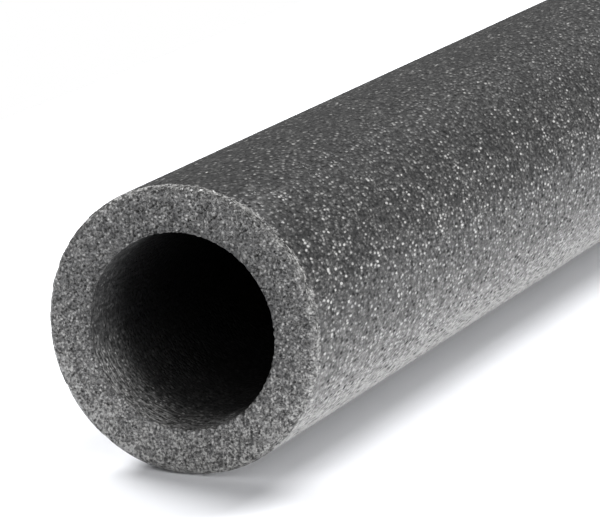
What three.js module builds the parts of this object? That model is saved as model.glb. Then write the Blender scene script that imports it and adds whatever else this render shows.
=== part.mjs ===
// Foam pipe lagging: one stock length of closed-cell foam tube, lying on its side.
// Millimetres, +Z up. The tube runs along X, and the origin is on the floor under its middle.

import * as THREE from 'three';

// Driving dimensions
const LENGTH = 1000; // one stock length, cut square at both ends
const BORE_DIAMETER = 36; // slips over a 35 mm pipe with a little play
const WALL = 9; // foam thickness, the same all round
const CUT_EDGE_RADIUS = 0.8; // how far the outer skin rolls over at each cut

// Facets
const SIDES = 48; // flats round the tube, within 0.06 mm of the circle
const EDGE_STEPS = 3; // steps in each half of a rolled edge

// Sizes that follow
const BORE_RADIUS = BORE_DIAMETER / 2;
const OUTER_RADIUS = BORE_RADIUS + WALL;
const HALF_LENGTH = LENGTH / 2;
const HALF_FLAT_ANGLE = Math.PI / SIDES;
const AXIS_HEIGHT = OUTER_RADIUS * Math.cos(HALF_FLAT_ANGLE);

// The wall cut along the tube: x is the distance from the axis, y runs along the axis.
// Only the outer edges are rolled over. The bore meets each cut at a sharp corner.
function wallSection() {
  const edgeCentre = OUTER_RADIUS - CUT_EDGE_RADIUS;
  const edgeStart = HALF_LENGTH - CUT_EDGE_RADIUS;
  const section = new THREE.Path();
  section.moveTo(BORE_RADIUS, HALF_LENGTH);
  section.lineTo(BORE_RADIUS, -HALF_LENGTH);
  section.lineTo(edgeCentre, -HALF_LENGTH);
  section.absarc(edgeCentre, -edgeStart, CUT_EDGE_RADIUS, -Math.PI / 2, 0, false);
  section.lineTo(OUTER_RADIUS, edgeStart);
  section.absarc(edgeCentre, edgeStart, CUT_EDGE_RADIUS, 0, Math.PI / 2, false);
  section.closePath();
  return section.getPoints(EDGE_STEPS);
}

// Charcoal polyethylene foam, matt with a faint sheen on the skin.
function foamMaterial() {
  return new THREE.MeshStandardMaterial({ color: 0x4a4b4d, roughness: 0.8, metalness: 0 });
}

// The wall spun round the axis. The first flat's middle faces straight down, so the tube
// stands on a flat of its outline, and then the axis is laid along X.
function foamTube() {
  const geometry = new THREE.LatheGeometry(wallSection(), SIDES, HALF_FLAT_ANGLE);
  const tube = new THREE.Mesh(geometry, foamMaterial());
  tube.name = 'foam_tube';
  tube.rotation.z = -Math.PI / 2;
  tube.position.z = AXIS_HEIGHT;
  return tube;
}

const lagging = new THREE.Group();
lagging.add(foamTube());

export default lagging;
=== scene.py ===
"""One length of charcoal foam pipe lagging, lying on a pale studio floor."""

import math
import random

import bmesh
import bpy
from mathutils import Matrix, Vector, noise


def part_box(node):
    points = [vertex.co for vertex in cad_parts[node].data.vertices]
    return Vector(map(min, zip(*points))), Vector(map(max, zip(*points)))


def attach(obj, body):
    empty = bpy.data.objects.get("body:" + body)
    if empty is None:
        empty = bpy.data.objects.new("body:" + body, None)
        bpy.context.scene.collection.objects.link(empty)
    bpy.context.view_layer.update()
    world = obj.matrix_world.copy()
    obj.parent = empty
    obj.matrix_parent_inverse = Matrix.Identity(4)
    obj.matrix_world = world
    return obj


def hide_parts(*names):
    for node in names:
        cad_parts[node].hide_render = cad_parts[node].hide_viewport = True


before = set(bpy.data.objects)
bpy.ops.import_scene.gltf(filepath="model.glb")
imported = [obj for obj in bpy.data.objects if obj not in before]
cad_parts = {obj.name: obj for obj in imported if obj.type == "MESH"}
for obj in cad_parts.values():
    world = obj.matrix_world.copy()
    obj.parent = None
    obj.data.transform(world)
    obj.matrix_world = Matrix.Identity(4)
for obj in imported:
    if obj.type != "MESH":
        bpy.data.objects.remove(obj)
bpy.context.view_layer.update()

bl_info = {
    "name": "Foam pipe lagging",
    "version": (1, 0, 0),
    "blender": (4, 5, 0),
    "location": "3D View > Sidebar > Lagging",
    "description": "A foam pipe lagging tube with its cells, skin and cut ends, and its studio",
    "category": "Object",
}

MM = 0.001
BODY = "root"
NODE = "foam_tube"
TUBE_LOW, TUBE_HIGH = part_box(NODE)

# The tube's materials, in the order of their slots
SKIN, CUT, BORE, FILM = range(4)

# The mesh: steps in a rolled rim, and how near to a cut or to the bore counts as on it
RIM_SEGMENTS = 6
MERGE_DISTANCE = 0.001 * MM
ON_CUT = 0.001 * MM
ON_BORE = 0.01 * MM

# The slow waves' size along the tube and across it
WAVE_ALONG = 40 * MM
WAVE_ACROSS = 20 * MM

# The skin's ragged end on the rim: its usual place and its reach to each side, as shares of
# the rim's radius, and the size of its ups and downs
SKIN_END = 0.75
SKIN_END_REACH = 0.45
SKIN_END_SIZE = 1.5 * MM

# The torn films on the rims. Lift is an angle up the roll, from the way that the cut faces
SLIVER_SEED = 7
SLIVER_SEGMENTS = 8
SLIVER_THICKNESS = 0.1 * MM
SLIVER_SUNK = 0.05 * MM
SLIVER_WANDER = 0.3 * MM
SLIVER_LIFT = (0.5, 1.2)
SLIVER_LENGTH_MM = (1.0, 6.0)
SLIVER_WIDTH_MM = (0.12, 0.32)

# The foam's refraction, and the roughness of the thin film over its cells
FOAM_IOR = 1.5
FILM_ROUGHNESS = 0.3

# The photograph's frame, and where the middle of the near cut lies in it
PHOTO_WIDTH_PX = 600
PHOTO_HEIGHT_PX = 525
CUT_CENTRE_PX = (181.3, 331.6)

# The camera's sensor, and the nearest and farthest that it shows, in metres
SENSOR_MM = 36.0
NEAREST_SEEN = 0.05
FARTHEST_SEEN = 500.0

# How far the floor lies below the tube, and the lights from it, in metres
FLOOR_DROP = 0.02 * MM
SOFTBOX_DISTANCE = 8.0


class TubeSizes(bpy.types.PropertyGroup):
    """Sizes of the tube and of the relief on it."""

    length: bpy.props.FloatProperty(
        name="Length",
        description="Length of the tube, from cut to cut",
        default=TUBE_HIGH.x - TUBE_LOW.x,
        unit="LENGTH",
        subtype="DISTANCE",
    )
    outer_radius: bpy.props.FloatProperty(
        name="Outer radius",
        description="From the axis to the skin",
        default=(TUBE_HIGH.z - TUBE_LOW.z) / 2,
        unit="LENGTH",
        subtype="DISTANCE",
    )
    bore_radius: bpy.props.FloatProperty(
        name="Bore radius",
        description="From the axis to the wall of the bore",
        default=18.0 * MM,
        unit="LENGTH",
        subtype="DISTANCE",
    )
    rim_radius: bpy.props.FloatProperty(
        name="Rim radius",
        description="How far the skin rolls over at each cut",
        default=1.6 * MM,
        unit="LENGTH",
        subtype="DISTANCE",
    )
    cell: bpy.props.FloatProperty(
        name="Cell size",
        description="Usual width of a foam cell",
        default=0.73 * MM,
        unit="LENGTH",
        subtype="DISTANCE",
    )
    cell_stretch: bpy.props.FloatProperty(
        name="Cell stretch",
        description="How much longer the skin's cells are along the tube than round it",
        default=2.0,
        subtype="FACTOR",
    )
    cell_depth: bpy.props.FloatProperty(
        name="Cell depth",
        description="How deep the open cells are on a cut face",
        default=0.16 * MM,
        unit="LENGTH",
        subtype="DISTANCE",
    )
    relief_step: bpy.props.FloatProperty(
        name="Relief step",
        description="Edge length of the mesh on a cut face",
        default=0.27 * MM,
        unit="LENGTH",
        subtype="DISTANCE",
    )
    waviness: bpy.props.FloatProperty(
        name="Waviness",
        description="How far the skin and the bore wander from a true circle",
        default=0.12 * MM,
        unit="LENGTH",
        subtype="DISTANCE",
    )
    slivers: bpy.props.IntProperty(
        name="Slivers",
        description="How many torn films lie round each rim",
        default=90,
    )
    long_steps: bpy.props.IntProperty(
        name="Steps along the tube",
        description="Divisions of the skin and of the bore along the tube",
        default=30,
    )


class FoamFinish(bpy.types.PropertyGroup):
    """Colours and gloss of the foam."""

    skin_dark: bpy.props.FloatVectorProperty(
        name="Skin, dark",
        description="Colour of the skin between its pale dots",
        default=(0.008, 0.0082, 0.0085),
        subtype="COLOR",
        size=3,
    )
    # The palest dots drawn in this colour are painted glints; the underside's painted light leans
    # toward it too.
    skin_light: bpy.props.FloatVectorProperty(
        name="Skin, light",
        description="Colour of the skin's palest dots",
        default=(0.46, 0.455, 0.445),
        subtype="COLOR",
        size=3,
    )
    # Painted light: how much paler the underside is drawn, standing in for light from the floor.
    painted_underside_light: bpy.props.FloatProperty(
        name="Bloom",
        description="How much paler the skin is along its underside",
        default=1.2,
        subtype="FACTOR",
    )
    # Drawn inside the open cells: painted shade in the pits.
    cut_dark: bpy.props.FloatVectorProperty(
        name="Cut, dark",
        description="Colour inside the open cells",
        default=(0.012, 0.012, 0.0125),
        subtype="COLOR",
        size=3,
    )
    cut_light: bpy.props.FloatVectorProperty(
        name="Cut, light",
        description="Colour of the palest cut strands",
        default=(0.43, 0.426, 0.414),
        subtype="COLOR",
        size=3,
    )
    # The films' pale colour is a painted glint.
    film_glint: bpy.props.FloatVectorProperty(
        name="Film, light",
        description="Colour of the torn films at the rims",
        default=(0.42, 0.417, 0.405),
        subtype="COLOR",
        size=3,
    )
    bore_dark: bpy.props.FloatVectorProperty(
        name="Bore, dark",
        description="Colour of the bore between its strands",
        default=(0.006, 0.006, 0.0062),
        subtype="COLOR",
        size=3,
    )
    bore_light: bpy.props.FloatVectorProperty(
        name="Bore, light",
        description="Colour of the palest strands in the bore",
        default=(0.35, 0.348, 0.342),
        subtype="COLOR",
        size=3,
    )


class StageSettings(bpy.types.PropertyGroup):
    """The camera, the floor and the light."""

    yaw: bpy.props.FloatProperty(
        name="Camera yaw",
        description="Angle of the view from the tube's axis, seen from above",
        default=math.radians(23.09),
        unit="ROTATION",
        subtype="ANGLE",
    )
    pitch: bpy.props.FloatProperty(
        name="Camera pitch",
        description="How far the camera looks down",
        default=math.radians(13.37),
        unit="ROTATION",
        subtype="ANGLE",
    )
    distance: bpy.props.FloatProperty(
        name="Camera distance",
        description="Depth of the near cut in front of the camera",
        default=725.7 * MM,
        unit="LENGTH",
        subtype="DISTANCE",
    )
    lens: bpy.props.FloatProperty(
        name="Lens",
        description="Focal length in millimetres",
        default=242.2,
    )
    floor_low: bpy.props.FloatVectorProperty(
        name="Floor, near corner",
        description="The floor's corner before the near cut, on the camera's right",
        default=(-3.0, -3.0, 0.0),
        unit="LENGTH",
        subtype="TRANSLATION",
        size=3,
    )
    floor_high: bpy.props.FloatVectorProperty(
        name="Floor, far corner",
        description="The floor's corner beyond the far cut, on the camera's left",
        default=(1.0, 0.18, 0.0),
        unit="LENGTH",
        subtype="TRANSLATION",
        size=3,
    )
    floor_colour: bpy.props.FloatVectorProperty(
        name="Floor colour",
        description="Colour of the floor",
        default=(0.93, 0.94, 0.97),
        subtype="COLOR",
        size=3,
    )
    left_key: bpy.props.FloatProperty(
        name="Left key brightness",
        description="Brightness of the softbox on the far left",
        default=28.0,
    )
    back_key: bpy.props.FloatProperty(
        name="Back key brightness",
        description="Brightness of the softbox behind the tube",
        default=12.0,
    )
    side_key: bpy.props.FloatProperty(
        name="Side key brightness",
        description="Brightness of the small softbox on the far right",
        default=21.0,
    )
    front_fill: bpy.props.FloatProperty(
        name="Front fill brightness",
        description="Brightness of the softbox above the near cut",
        default=1.3,
    )
    side_fill: bpy.props.FloatProperty(
        name="Side fill brightness",
        description="Brightness of the low softbox on the near side of the tube",
        default=11.2,
    )
    ambient: bpy.props.FloatProperty(
        name="Ambient",
        description="Brightness of the studio round the softboxes",
        default=0.04,
    )


class NodeTree:
    """Adds nodes to a material or world and joins them."""

    def __init__(self, owner):
        owner.use_nodes = True
        self.tree = owner.node_tree
        self.tree.nodes.clear()

    def add(self, kind, inputs=None, **settings):
        """A new node. inputs maps a socket's name or number to a value or to another socket."""
        node = self.tree.nodes.new(kind)
        for key, value in settings.items():
            setattr(node, key, value)
        for key, value in (inputs or {}).items():
            if isinstance(value, bpy.types.NodeSocket):
                self.tree.links.new(value, node.inputs[key])
            else:
                node.inputs[key].default_value = value
        return node

    def maths(self, operation, *values, clamp=False):
        """The result of a Math node."""
        inputs = dict(enumerate(values))
        node = self.add("ShaderNodeMath", inputs, operation=operation, use_clamp=clamp)
        return node.outputs[0]

    def vectors(self, operation, *values, scale=None):
        """The vector that a Vector Math node gives."""
        inputs = dict(enumerate(values))
        if scale is not None:
            inputs["Scale"] = scale
        return self.add("ShaderNodeVectorMath", inputs, operation=operation).outputs[0]

    def weighted(self, *terms, base=0.0):
        """base and every term's value times its weight, all added up."""
        total = base
        for value, weight in terms:
            total = self.maths("MULTIPLY_ADD", value, weight, total)
        return total

    def remap(self, value, low, high, to_low=0.0, to_high=1.0):
        """value taken from low..high to to_low..to_high with smooth ends."""
        inputs = {"Value": value, "From Min": low, "From Max": high}
        inputs.update({"To Min": to_low, "To Max": to_high})
        node = self.add("ShaderNodeMapRange", inputs, interpolation_type="SMOOTHSTEP")
        return node.outputs["Result"]

    def mix(self, factor, first, second):
        """Two colours mixed by factor."""
        node = self.add("ShaderNodeMix", {"Factor": factor}, data_type="RGBA")
        node.inputs[6].default_value = (*first, 1.0)
        node.inputs[7].default_value = (*second, 1.0)
        return node.outputs[2]

    def noise(self, place, size, detail=2.0, roughness=0.5):
        """Grey noise whose blotches are about size across."""
        inputs = {"Vector": place, "Scale": 1 / size, "Detail": detail, "Roughness": roughness}
        return self.add("ShaderNodeTexNoise", inputs).outputs["Fac"]

    def cells(self, place, size, feature="F1"):
        """A Voronoi node whose cells are about size across."""
        inputs = {"Vector": place, "Scale": 1 / size}
        return self.add("ShaderNodeTexVoronoi", inputs, feature=feature)

    def luck(self, cells, channel):
        """A random share from 0 to 1 for each of the cells, with a choice of three channels."""
        return self.add(
            "ShaderNodeSeparateColor", {"Color": cells.outputs["Color"]}
        ).outputs[channel]

    def warped(self, place, size, reach):
        """place, pushed about by noise so that cells lose their straight walls."""
        inputs = {"Vector": place, "Scale": 1 / size, "Detail": 1.0}
        wander = self.add("ShaderNodeTexNoise", inputs).outputs["Color"]
        return self.vectors("MULTIPLY_ADD", wander, (reach, reach, reach), place)


def new_material(name):
    """A material, its nodes and the socket of each point's place on the object."""
    material = bpy.data.materials.new(name)
    nodes = NodeTree(material)
    return material, nodes, nodes.add("ShaderNodeTexCoord").outputs["Object"]


def height_of(nodes, place):
    """How high each point lies above the floor."""
    return nodes.add("ShaderNodeSeparateXYZ", {"Vector": place}).outputs["Z"]


def radius_from_axis(nodes, place, sizes):
    """How far each point lies from the tube's axis."""
    parts = nodes.add("ShaderNodeSeparateXYZ", {"Vector": place})
    rise = nodes.maths("SUBTRACT", parts.outputs["Z"], sizes.outer_radius)
    flat = nodes.add("ShaderNodeCombineXYZ", {"Y": parts.outputs["Y"], "Z": rise})
    return nodes.add(
        "ShaderNodeVectorMath", {0: flat.outputs[0]}, operation="LENGTH"
    ).outputs["Value"]


def stretched(nodes, place, stretch):
    """place drawn in along X, so that what is read from it grows longer along the tube."""
    return nodes.vectors("MULTIPLY", place, (1 / stretch, 1.0, 1.0))


def round_the_bore(nodes, place, sizes):
    """The bore's wall laid flat and drawn in, so that what is read from it runs round the bore."""
    drawn_in = 0.22
    parts = nodes.add("ShaderNodeSeparateXYZ", {"Vector": place})
    rise = nodes.maths("SUBTRACT", parts.outputs["Z"], sizes.outer_radius)
    turn = nodes.maths("ARCTAN2", parts.outputs["Y"], nodes.maths("MULTIPLY", rise, -1.0))
    arc = nodes.maths("MULTIPLY", turn, sizes.bore_radius * drawn_in)
    flat = nodes.add("ShaderNodeCombineXYZ", {"X": parts.outputs["X"], "Y": arc})
    return flat.outputs[0]


def cell_turn(nodes, place, size, tilt):
    """A small random push for the normal, one to each cell."""
    mid_grey = (0.5, 0.5, 0.5)
    turn = nodes.cells(place, size).outputs["Color"]
    centred = nodes.vectors("SUBTRACT", turn, mid_grey)
    return nodes.vectors("SCALE", centred, scale=tilt)


def bubble(nodes, place, size, tilt):
    """A push for the normal that rounds every cell into a bubble, or with -tilt into a pit."""
    flattest = 0.4
    cells = nodes.cells(place, size)
    away = nodes.vectors("SUBTRACT", place, cells.outputs["Position"])
    strength = nodes.maths("ADD", nodes.luck(cells, 1), flattest)
    return nodes.vectors("SCALE", away, scale=nodes.maths("MULTIPLY", strength, tilt / size))


def tilted_normal(nodes, *turns):
    """The surface's normal with those pushes added to it."""
    normal = nodes.add("ShaderNodeNewGeometry").outputs["Normal"]
    for turn in turns:
        normal = nodes.vectors("ADD", normal, turn)
    return nodes.vectors("NORMALIZE", normal)


def dots(nodes, place, size, shift, full, gone, rarity):
    """Soft dots, one to a cell, full and gone at those shares of it. Rarity makes more faint."""
    cells = nodes.cells(nodes.vectors("ADD", place, (shift, shift, shift)), size)
    spot = nodes.remap(cells.outputs["Distance"], gone, full)
    return nodes.maths("MULTIPLY", spot, nodes.maths("POWER", nodes.luck(cells, 0), rarity))


def foam_shader(nodes, pale, dark, light, facing, roughness, gloss=0.5, film=0.0):
    """The foam's surface: dark to light by pale, with its cells' gloss and the film over them."""
    inputs = {
        "Base Color": nodes.mix(pale, dark, light),
        "Roughness": roughness,
        "IOR": FOAM_IOR,
        "Specular IOR Level": gloss,
        "Coat Weight": film,
        "Coat Roughness": FILM_ROUGHNESS,
        "Coat IOR": FOAM_IOR,
        "Normal": facing,
    }
    shader = nodes.add("ShaderNodeBsdfPrincipled", inputs)
    nodes.add("ShaderNodeOutputMaterial", {"Surface": shader.outputs[0]})


def skin_painted_glints(nodes, place, grain, cell):
    """Painted glints: pale dots on the skin's cells, large and small, over a faint grain."""
    large_share, small_share, grain_share = 1.1, 0.24, 0.1
    small_cell, apart = 0.7 * cell, 3 * MM
    large = dots(nodes, place, cell, shift=0.0, full=0.08, gone=0.5, rarity=2.6)
    small = dots(nodes, place, small_cell, shift=apart, full=0.1, gone=0.5, rarity=1.0)
    return nodes.weighted((large, large_share), (small, small_share), (grain, grain_share))


def skin_clumps(nodes, straight):
    """Small clumps where the skin's dots lie thicker or thinner."""
    clumps = nodes.noise(straight, size=1.7 * MM, detail=3.0, roughness=0.6)
    return nodes.remap(clumps, low=0.32, high=0.68, to_low=0.35, to_high=1.6)


def skin_shade(nodes, straight, clumps, sizes):
    """How strong the painted glint dots are: by clumps, by wider patches, and less along the top, a
    painted shade.
    """
    patches = nodes.noise(straight, size=7 * MM)
    patches = nodes.remap(patches, low=0.3, high=0.7, to_low=0.75, to_high=1.2)
    # Painted shade: the dots fade along the top of the tube.
    top, shoulder = 1.95 * sizes.outer_radius, 1.4 * sizes.outer_radius
    side = nodes.remap(height_of(nodes, straight), top, shoulder, to_low=0.54, to_high=1.22)
    return nodes.maths("MULTIPLY", nodes.maths("MULTIPLY", clumps, patches), side)


def skin_painted_underside_light(nodes, straight, grain, clumps, sizes):
    """Painted light on the skin's underside, strongest at the floor and gone near the top."""
    most, fall_height, steepness = 1.1, 1.8 * sizes.outer_radius, 3.5
    grain_share, clump_share, least = 0.5, 0.45, 0.25
    # Painted light: paler towards the floor, fading out by the top.
    fall = nodes.maths("DIVIDE", height_of(nodes, straight), fall_height)
    under = nodes.maths("MAXIMUM", nodes.maths("SUBTRACT", most, fall), 0.0)
    under = nodes.maths("POWER", under, steepness)
    painted_light_mottle = nodes.weighted((grain, grain_share), (clumps, clump_share), base=least)
    return nodes.maths("MULTIPLY", painted_light_mottle, under)


def skin_roughness(nodes, place, gaps, cell):
    """Glossy in the middle of a cell and dull at its edge and in the gaps, by chance more so."""
    chance = 0.4
    cells = nodes.cells(place, cell)
    dull = nodes.weighted((nodes.luck(cells, 2), chance), base=cells.outputs["Distance"])
    dullest = nodes.maths("MAXIMUM", gaps, dull)
    return nodes.remap(dullest, low=0.3, high=0.8, to_low=0.28, to_high=0.9)


def skin_material(finish, sizes):
    """The closed skin: a dark film with pale dots as painted glints, fainter along the top as
    painted shade, and painted light underneath.
    """
    material, nodes, straight = new_material("foam_skin")
    cell = sizes.cell
    drawn = stretched(nodes, straight, sizes.cell_stretch)
    place = nodes.warped(drawn, size=1.5 * cell, reach=0.4 * cell)
    clumps = skin_clumps(nodes, straight)
    grain = nodes.noise(place, size=0.8 * cell, detail=3.0, roughness=0.7)
    grain = nodes.remap(grain, low=0.36, high=0.68)
    gaps = dots(nodes, place, size=1.4 * cell, shift=7 * MM, full=0.1, gone=0.5, rarity=0.8)
    # Pale dots drawn into the colour: painted glints of the cells' bubbles.
    spots = skin_painted_glints(nodes, place, grain, cell)
    spots = nodes.maths("MULTIPLY", spots, skin_shade(nodes, straight, clumps, sizes))
    # Painted light from the floor along the underside, mixed into the colour.
    painted_light_mottle = skin_painted_underside_light(nodes, straight, grain, clumps, sizes)
    pale = nodes.weighted((painted_light_mottle, finish.painted_underside_light), base=spots)
    # The gaps darken the colour: painted shade in the skin's open cells.
    pale = nodes.maths("MULTIPLY", pale, nodes.maths("SUBTRACT", 1.0, gaps), clamp=True)
    facing = tilted_normal(
        nodes,
        bubble(nodes, place, size=cell, tilt=0.75),
        cell_turn(nodes, place, size=0.55 * cell, tilt=0.1),
    )
    roughness = skin_roughness(nodes, place, gaps, cell)
    film = nodes.remap(gaps, low=0.1, high=0.5, to_low=0.15, to_high=0.0)
    dark, light = finish.skin_dark, finish.skin_light
    foam_shader(nodes, pale, dark, light, facing, roughness, gloss=0.22, film=film)
    return material


def cut_tangle(nodes, place, cell):
    """Pale strands and knots round small dark pits, the pits' darkness a painted shade."""
    grain_share, strand_share, least = 0.36, 0.19, 0.06
    pit_share, knot_share = 0.85, 0.85
    pit_cell, knot_cell, apart = 1.15 * cell, 0.9 * cell, 5 * MM
    pits = dots(nodes, place, pit_cell, shift=0.0, full=0.16, gone=0.58, rarity=0.7)
    knots = dots(nodes, place, knot_cell, shift=apart, full=0.1, gone=0.5, rarity=2.4)
    walls = nodes.cells(place, cell, feature="DISTANCE_TO_EDGE").outputs["Distance"]
    strands = nodes.remap(walls, low=0.1, high=0.0)
    grain = nodes.noise(place, size=0.6 * cell, detail=3.0, roughness=0.75)
    grain = nodes.remap(grain, low=0.38, high=0.64)
    pale = nodes.weighted((grain, grain_share), (strands, strand_share), base=least)
    # Painted shade: the colour darkens towards each pit's middle.
    painted_pit_shade = nodes.weighted((pits, -pit_share), base=1.0)
    return nodes.weighted((knots, knot_share), base=nodes.maths("MULTIPLY", pale, painted_pit_shade))


def cut_shade(nodes, straight, sizes):
    """How pale the cut is: more by clumps, towards its rim, partly torn foam and partly painted
    light, and towards the floor, a painted light.
    """
    clumps = nodes.noise(straight, size=1.5 * MM)
    clumps = nodes.remap(clumps, low=0.32, high=0.68, to_low=0.65, to_high=1.3)
    radius = radius_from_axis(nodes, straight, sizes)
    middle = (sizes.bore_radius + sizes.outer_radius) / 2
    inner = nodes.remap(radius, sizes.bore_radius, middle - 2 * MM, to_low=0.7, to_high=1.0)
    # Paler at the rim: partly torn foam, partly painted light.
    outer = nodes.remap(radius, middle, sizes.outer_radius, to_low=1.0, to_high=1.45)
    # Painted light from the floor: paler towards the bottom.
    upper, lower = 1.2 * sizes.outer_radius, 0.2 * sizes.outer_radius
    under = nodes.remap(height_of(nodes, straight), upper, lower, to_low=0.95, to_high=1.9)
    across = nodes.maths("MULTIPLY", inner, outer)
    return nodes.maths("MULTIPLY", nodes.maths("MULTIPLY", clumps, across), under)


def cut_material(finish, sizes):
    """The sawn face: a tangle of pale strands round small dark pits in painted shade, palest at the
    rim, partly by painted light.
    """
    material, nodes, straight = new_material("foam_cut")
    cell = sizes.cell
    place = nodes.warped(straight, size=1.2 * cell, reach=0.5 * cell)
    pale = cut_tangle(nodes, place, cell)
    pale = nodes.maths("MULTIPLY", pale, cut_shade(nodes, straight, sizes), clamp=True)
    facing = tilted_normal(
        nodes,
        bubble(nodes, place, size=cell, tilt=-1.0),
        cell_turn(nodes, place, size=0.4 * cell, tilt=0.8),
    )
    foam_shader(nodes, pale, finish.cut_dark, finish.cut_light, facing, roughness=0.35)
    return material


def bore_shade(nodes, straight, sizes):
    """How pale the bore is: more near its mouths, as painted shade deeper in, and along its floor,
    as painted light from above.
    """
    end, fade = sizes.length / 2, 16 * MM
    parts = nodes.add("ShaderNodeSeparateXYZ", {"Vector": straight})
    along = nodes.maths("ABSOLUTE", parts.outputs["X"])
    # Painted shade: darker deeper into the bore.
    painted_depth_shade = nodes.remap(along, end - fade, end, to_low=0.08, to_high=0.88)
    axis, low_wall = sizes.outer_radius, 0.5 * sizes.outer_radius
    # Painted light from above: paler along the bore's lower wall.
    low = nodes.remap(parts.outputs["Z"], axis, low_wall, to_low=0.7, to_high=4.2)
    return nodes.maths("MULTIPLY", painted_depth_shade, low)


def bore_material(finish, sizes):
    """The wall of the bore: dark, with fine strands running round it, paler near its mouths with
    painted shade deeper in, and painted light along its floor.
    """
    material, nodes, straight = new_material("foam_bore")
    cell = sizes.cell
    strand_share, grain_share, spot_share = 0.36, 0.12, 0.75
    unrolled = round_the_bore(nodes, straight, sizes)
    strands = nodes.noise(unrolled, size=0.7 * cell, detail=3.0, roughness=0.7)
    strands = nodes.remap(strands, low=0.45, high=0.75)
    place = nodes.warped(straight, size=cell, reach=0.4 * cell)
    spots = dots(nodes, place, cell, shift=0.0, full=0.1, gone=0.5, rarity=3.0)
    grain = nodes.noise(place, size=cell, detail=3.0, roughness=0.7)
    grain = nodes.remap(grain, low=0.35, high=0.7)
    pale = nodes.weighted((strands, strand_share), (grain, grain_share), (spots, spot_share))
    pale = nodes.maths("MULTIPLY", pale, bore_shade(nodes, straight, sizes), clamp=True)
    facing = tilted_normal(nodes, bubble(nodes, place, size=cell, tilt=0.7))
    dark, light = finish.bore_dark, finish.bore_light
    foam_shader(nodes, pale, dark, light, facing, roughness=0.55, gloss=0.3)
    return material


def film_material(finish, sizes):
    """Torn films at the rims: thin, pale and dull, their paleness a painted glint on their edges.
    """
    material, nodes, place = new_material("foam_film")
    blotches = nodes.noise(place, size=sizes.cell, detail=3.0, roughness=0.7)
    pale = nodes.remap(blotches, low=0.35, high=0.65, to_low=0.1, to_high=1.0)
    facing = tilted_normal(nodes, cell_turn(nodes, place, size=sizes.cell, tilt=0.5))
    dark, light = finish.cut_dark, finish.film_glint
    foam_shader(nodes, pale, dark, light, facing, roughness=0.5, gloss=0.2)
    return material


def wall_section(tube, sizes):
    """The wall cut along the tube: a long thin oblong above the axis, rolled over at its rims."""
    half = sizes.length / 2
    axis = sizes.outer_radius
    corners = [
        tube.verts.new((x, 0.0, axis + radius))
        for x, radius in (
            (-half, sizes.bore_radius),
            (half, sizes.bore_radius),
            (half, sizes.outer_radius),
            (-half, sizes.outer_radius),
        )
    ]
    for first, second in zip(corners, corners[1:] + corners[:1]):
        tube.edges.new((first, second))
    bmesh.ops.bevel(
        tube,
        geom=corners[2:],
        offset=sizes.rim_radius,
        affect="VERTICES",
        segments=RIM_SEGMENTS,
        profile=0.5,
        material=-1,
        clamp_overlap=False,
    )
    wall = sizes.outer_radius - sizes.bore_radius
    along = [edge for edge in tube.edges if edge.calc_length() > half]
    across = [edge for edge in tube.edges if half > edge.calc_length() > wall / 2]
    bmesh.ops.bisect_edges(tube, edges=along, cuts=sizes.long_steps - 1)
    bmesh.ops.bisect_edges(tube, edges=across, cuts=round(wall / sizes.relief_step))


def wall_ring(sizes):
    """The wall's section, spun round the axis into a closed tube along X."""
    tube = bmesh.new()
    wall_section(tube, sizes)
    middle_radius = (sizes.outer_radius + sizes.bore_radius) / 2
    bmesh.ops.spin(
        tube,
        geom=tube.verts[:] + tube.edges[:],
        cent=(0.0, 0.0, sizes.outer_radius),
        axis=(1.0, 0.0, 0.0),
        angle=math.tau,
        steps=round(math.tau * middle_radius / sizes.relief_step),
        use_merge=True,
    )
    bmesh.ops.remove_doubles(tube, verts=tube.verts, dist=MERGE_DISTANCE)
    bmesh.ops.recalc_face_normals(tube, faces=tube.faces)
    return tube


def open_cell(vert, place, spoke, radius, sizes):
    """Presses the cells into a cut, and makes the edge of the bore ragged."""
    wall_share = 0.5
    near, second = noise.voronoi(place / sizes.cell)[0][:2]
    depth = min(1.0, (second - near) / wall_share)
    vert.co.x -= math.copysign(sizes.cell_depth * depth, place.x)
    if radius < sizes.bore_radius + sizes.relief_step:
        vert.co += spoke * sizes.cell_depth * (1 + noise.noise(place / sizes.cell))


def torn_rim(vert, place, spoke, sizes):
    """Wears the rolled rim back, inwards and along the tube."""
    torn = abs(noise.noise(place / sizes.cell))
    outwards = Vector((math.copysign(1.0, place.x), 0.0, 0.0))
    vert.co -= outwards * sizes.cell_depth * torn
    vert.co -= spoke * sizes.cell_depth * torn


def slow_wave(vert, place, spoke, radius, sizes):
    """Moves the skin inwards and the bore outwards by a slow wave, the wall between in part."""
    wave = noise.noise(
        Vector((place.x / WAVE_ALONG, place.y / WAVE_ACROSS, place.z / WAVE_ACROSS))
    )
    share = (radius - sizes.bore_radius) / (sizes.outer_radius - sizes.bore_radius)
    shift = sizes.waviness * (wave - 1) / 2
    vert.co += spoke * shift * share
    vert.co -= spoke * shift * (1 - share)


def roughen(tube, sizes):
    """Moves the vertices: open cells on the cuts, torn rims, slow waves on skin and bore."""
    half = sizes.length / 2
    for vert in tube.verts:
        place = vert.co.copy()
        spoke = Vector((0.0, place.y, place.z - sizes.outer_radius))
        radius = spoke.length
        spoke.normalize()
        if abs(place.x) > half - ON_CUT:
            open_cell(vert, place, spoke, radius, sizes)
        elif abs(place.x) > half - sizes.rim_radius:
            torn_rim(vert, place, spoke, sizes)
        slow_wave(vert, place, spoke, radius, sizes)


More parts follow.
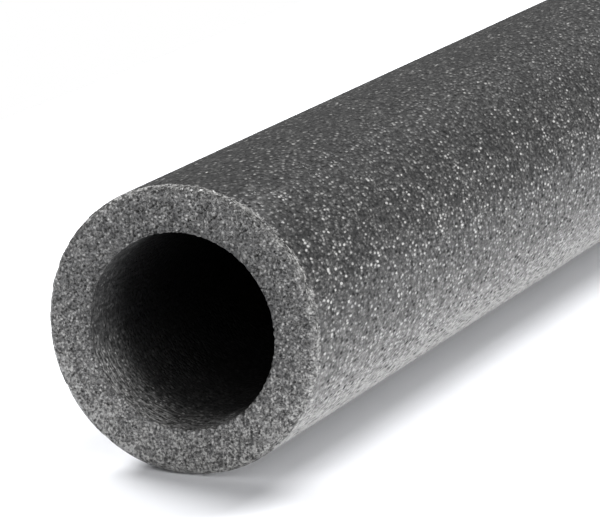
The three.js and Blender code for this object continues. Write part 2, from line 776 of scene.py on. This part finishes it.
def sliver_place(corner, end, turn, lift, length, width, sizes):
    """Where a corner of a sliver's box lands on the rolled rim."""
    narrowing, sinking = 0.85, 0.15
    turn_scale, round_scale, layer = 9, 2.5, 4.0
    across, round_tube, thick = corner
    taper = 1.0 - narrowing * abs(2 * round_tube) ** 2
    wander = SLIVER_WANDER * noise.noise(
        Vector((turn * turn_scale, round_tube * round_scale, layer))
    )
    out = sizes.rim_radius - SLIVER_SUNK + thick * SLIVER_THICKNESS - abs(wander) * sinking
    slope = lift + (across * width * taper + wander) / sizes.rim_radius
    radius = sizes.outer_radius - sizes.rim_radius + out * math.sin(slope)
    inward = sizes.rim_radius - out * math.cos(slope)
    angle = turn + round_tube * length / sizes.outer_radius
    return (
        end * (sizes.length / 2 - inward),
        -radius * math.sin(angle),
        sizes.outer_radius + radius * math.cos(angle),
    )


def sliver(tube, end, turn, lift, length, width, sizes):
    """One thin torn film lying on the rolled rim: a small box bent round the tube."""
    strip = bmesh.new()
    bmesh.ops.create_cube(strip, size=1.0)
    along = [edge for edge in strip.edges if abs(edge.verts[0].co.y - edge.verts[1].co.y) > 0.5]
    bmesh.ops.subdivide_edges(strip, edges=along, cuts=SLIVER_SEGMENTS - 1, use_grid_fill=True)
    for vert in strip.verts:
        vert.co = sliver_place(vert.co, end, turn, lift, length, width, sizes)
    for face in strip.faces:
        face.material_index = FILM
    mesh = bpy.data.meshes.new("sliver")
    strip.to_mesh(mesh)
    strip.free()
    tube.from_mesh(mesh)
    bpy.data.meshes.remove(mesh)


def add_slivers(tube, sizes):
    """Torn films at chance places round both rims."""
    luck = random.Random(SLIVER_SEED)
    for end in (-1, 1):
        for _ in range(sizes.slivers):
            sliver(
                tube,
                end,
                turn=luck.uniform(0.0, math.tau),
                lift=luck.uniform(*SLIVER_LIFT),
                length=luck.uniform(*SLIVER_LENGTH_MM) * MM,
                width=luck.uniform(*SLIVER_WIDTH_MM) * MM,
                sizes=sizes,
            )


def surface_kind(face, sizes):
    """The slot of a face: bore, cut or skin. The skin ends raggedly on the rolled rim."""
    middle = face.calc_center_median()
    radius = math.hypot(middle.y, middle.z - sizes.outer_radius)
    if radius < sizes.bore_radius + ON_BORE:
        return BORE
    ragged = SKIN_END + SKIN_END_REACH * noise.noise(middle / SKIN_END_SIZE)
    on_cut = abs(middle.x) > sizes.length / 2 - sizes.rim_radius * ragged
    return CUT if on_cut else SKIN


def new_object(name, mesh, materials):
    """An object of that mesh at the origin, with its materials."""
    for material in materials:
        mesh.materials.append(material)
    made = bpy.data.objects.new(name, mesh)
    bpy.context.scene.collection.objects.link(made)
    return made


class LAGGING_OT_foam_tube(bpy.types.Operator):
    """Make the foam tube with its skin, bore and open-celled cuts"""

    bl_idname = "lagging.foam_tube"
    bl_label = "Foam tube"

    def execute(self, context):
        sizes = context.scene.lagging_tube
        finish = context.scene.lagging_finish
        tube = wall_ring(sizes)
        for face in tube.faces:
            face.material_index = surface_kind(face, sizes)
            face.smooth = True
        roughen(tube, sizes)
        add_slivers(tube, sizes)
        bmesh.ops.recalc_face_normals(tube, faces=tube.faces)
        mesh = bpy.data.meshes.new("lagging_tube")
        tube.to_mesh(mesh)
        tube.free()
        in_slot_order = (skin_material, cut_material, bore_material, film_material)
        materials = [make(finish, sizes) for make in in_slot_order]
        piece = new_object("lagging_tube", mesh, materials)
        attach(piece, BODY)
        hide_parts(NODE)
        return {"FINISHED"}


def photo_camera(stage, sizes):
    """The camera, placed so that the near cut's middle lands where the photograph has it."""
    turn, tilt = stage.yaw, stage.pitch
    forward = Vector(
        (math.cos(turn) * math.cos(tilt), math.sin(turn) * math.cos(tilt), -math.sin(tilt))
    )
    right = forward.cross(Vector((0.0, 0.0, 1.0))).normalized()
    up = right.cross(forward)
    focal_px = stage.lens / SENSOR_MM * PHOTO_WIDTH_PX
    across = (CUT_CENTRE_PX[0] - PHOTO_WIDTH_PX / 2) / focal_px
    down = (CUT_CENTRE_PX[1] - PHOTO_HEIGHT_PX / 2) / focal_px
    cut_centre = Vector((-sizes.length / 2, 0.0, sizes.outer_radius))
    lens = bpy.data.cameras.new("photo_camera")
    lens.lens = stage.lens
    lens.sensor_width = SENSOR_MM
    lens.clip_start = NEAREST_SEEN
    lens.clip_end = FARTHEST_SEEN
    camera = bpy.data.objects.new("photo_camera", lens)
    camera.location = cut_centre - (forward + right * across - up * down) * stage.distance
    camera.rotation_mode = "QUATERNION"
    camera.rotation_quaternion = forward.to_track_quat("-Z", "Y")
    bpy.context.scene.collection.objects.link(camera)
    bpy.context.scene.camera = camera


def floor_material(stage):
    """The floor's plain pale finish."""
    material = bpy.data.materials.new("pale_floor")
    nodes = NodeTree(material)
    inputs = {
        "Base Color": (*stage.floor_colour, 1.0),
        "Roughness": 0.9,
        "Specular IOR Level": 0.0,
    }
    shader = nodes.add("ShaderNodeBsdfPrincipled", inputs)
    nodes.add("ShaderNodeOutputMaterial", {"Surface": shader.outputs[0]})
    return material


def floor(stage):
    """A wide pale floor just under the tube."""
    ground = bmesh.new()
    bmesh.ops.create_grid(ground, x_segments=1, y_segments=1, size=0.5)
    low, high = Vector(stage.floor_low), Vector(stage.floor_high)
    middle = (low + high) / 2 - Vector((0.0, 0.0, FLOOR_DROP))
    bmesh.ops.scale(ground, verts=ground.verts, vec=(high.x - low.x, high.y - low.y, 1.0))
    bmesh.ops.translate(ground, verts=ground.verts, vec=middle)
    mesh = bpy.data.meshes.new("floor")
    ground.to_mesh(mesh)
    ground.free()
    new_object("floor", mesh, [floor_material(stage)])


def softbox(name, bearing, elevation, half_angle, radiance):
    """A round softbox that faces the tube, seen from it half_angle wide to each side."""
    lamp = bpy.data.lights.new(name, "AREA")
    lamp.shape = "DISK"
    lamp.size = 2 * SOFTBOX_DISTANCE * math.tan(math.radians(half_angle))
    disk_area = math.pi * (lamp.size / 2) ** 2
    lamp.energy = radiance * math.pi * disk_area
    box = bpy.data.objects.new(name, lamp)
    turn, lift = math.radians(bearing), math.radians(elevation)
    out = Vector(
        (math.cos(turn) * math.cos(lift), math.sin(turn) * math.cos(lift), math.sin(lift))
    )
    box.location = out * SOFTBOX_DISTANCE
    box.rotation_mode = "QUATERNION"
    box.rotation_quaternion = out.to_track_quat("Z", "Y")
    box.visible_camera = False
    bpy.context.scene.collection.objects.link(box)


def softboxes(stage):
    """Five lights: left of the tube, two high beyond it, one before it and one low on the right."""
    softbox("left_key", bearing=73, elevation=42, half_angle=11.8, radiance=stage.left_key)
    softbox("back_key", bearing=353, elevation=60, half_angle=9, radiance=stage.back_key)
    softbox("side_key", bearing=341, elevation=50, half_angle=10.8, radiance=stage.side_key)
    softbox("front_fill", bearing=196, elevation=38, half_angle=26, radiance=stage.front_fill)
    softbox("side_fill", bearing=255, elevation=10, half_angle=14, radiance=stage.side_fill)


def room(stage):
    """A dim room round the softboxes that the camera sees as white."""
    world = bpy.data.worlds.new("studio_room")
    bpy.context.scene.world = world
    nodes = NodeTree(world)
    seen = nodes.add("ShaderNodeLightPath").outputs["Is Camera Ray"]
    strength = nodes.add(
        "ShaderNodeMapRange", {"Value": seen, "To Min": stage.ambient, "To Max": 1.0}
    )
    white = (1.0, 1.0, 1.0, 1.0)
    glow = nodes.add(
        "ShaderNodeBackground", {"Color": white, "Strength": strength.outputs["Result"]}
    )
    nodes.add("ShaderNodeOutputWorld", {"Surface": glow.outputs[0]})


class LAGGING_OT_stage(bpy.types.Operator):
    """Make the floor, the light and the camera"""

    bl_idname = "lagging.stage"
    bl_label = "Stage"

    def execute(self, context):
        stage = context.scene.lagging_stage
        photo_camera(stage, context.scene.lagging_tube)
        floor(stage)
        softboxes(stage)
        room(stage)
        context.scene.view_settings.view_transform = "Standard"
        return {"FINISHED"}


class LAGGING_PT_panel(bpy.types.Panel):
    """Lists the lagging's sizes, finishes and operators"""

    bl_idname = "LAGGING_PT_panel"
    bl_label = "Lagging"
    bl_space_type = "VIEW_3D"
    bl_region_type = "UI"
    bl_category = "Lagging"

    def draw(self, context):
        scene = context.scene
        for operator, settings in (
            (LAGGING_OT_foam_tube, (scene.lagging_tube, scene.lagging_finish)),
            (LAGGING_OT_stage, (scene.lagging_stage,)),
        ):
            box = self.layout.box()
            for group in settings:
                for name in type(group).__annotations__:
                    box.prop(group, name)
            box.operator(operator.bl_idname)


CLASSES = (
    TubeSizes,
    FoamFinish,
    StageSettings,
    LAGGING_OT_foam_tube,
    LAGGING_OT_stage,
    LAGGING_PT_panel,
)


def register():
    """Adds the classes, and their settings to every scene."""
    for cls in CLASSES:
        bpy.utils.register_class(cls)
    scene = bpy.types.Scene
    scene.lagging_tube = bpy.props.PointerProperty(type=TubeSizes)
    scene.lagging_finish = bpy.props.PointerProperty(type=FoamFinish)
    scene.lagging_stage = bpy.props.PointerProperty(type=StageSettings)


def unregister():
    """Takes away what register added."""
    del bpy.types.Scene.lagging_stage
    del bpy.types.Scene.lagging_finish
    del bpy.types.Scene.lagging_tube
    for cls in reversed(CLASSES):
        bpy.utils.unregister_class(cls)


def main():
    """Makes the tube and the stage."""
    register()
    bpy.ops.lagging.foam_tube()
    bpy.ops.lagging.stage()


if __name__ == "__main__":
    main()
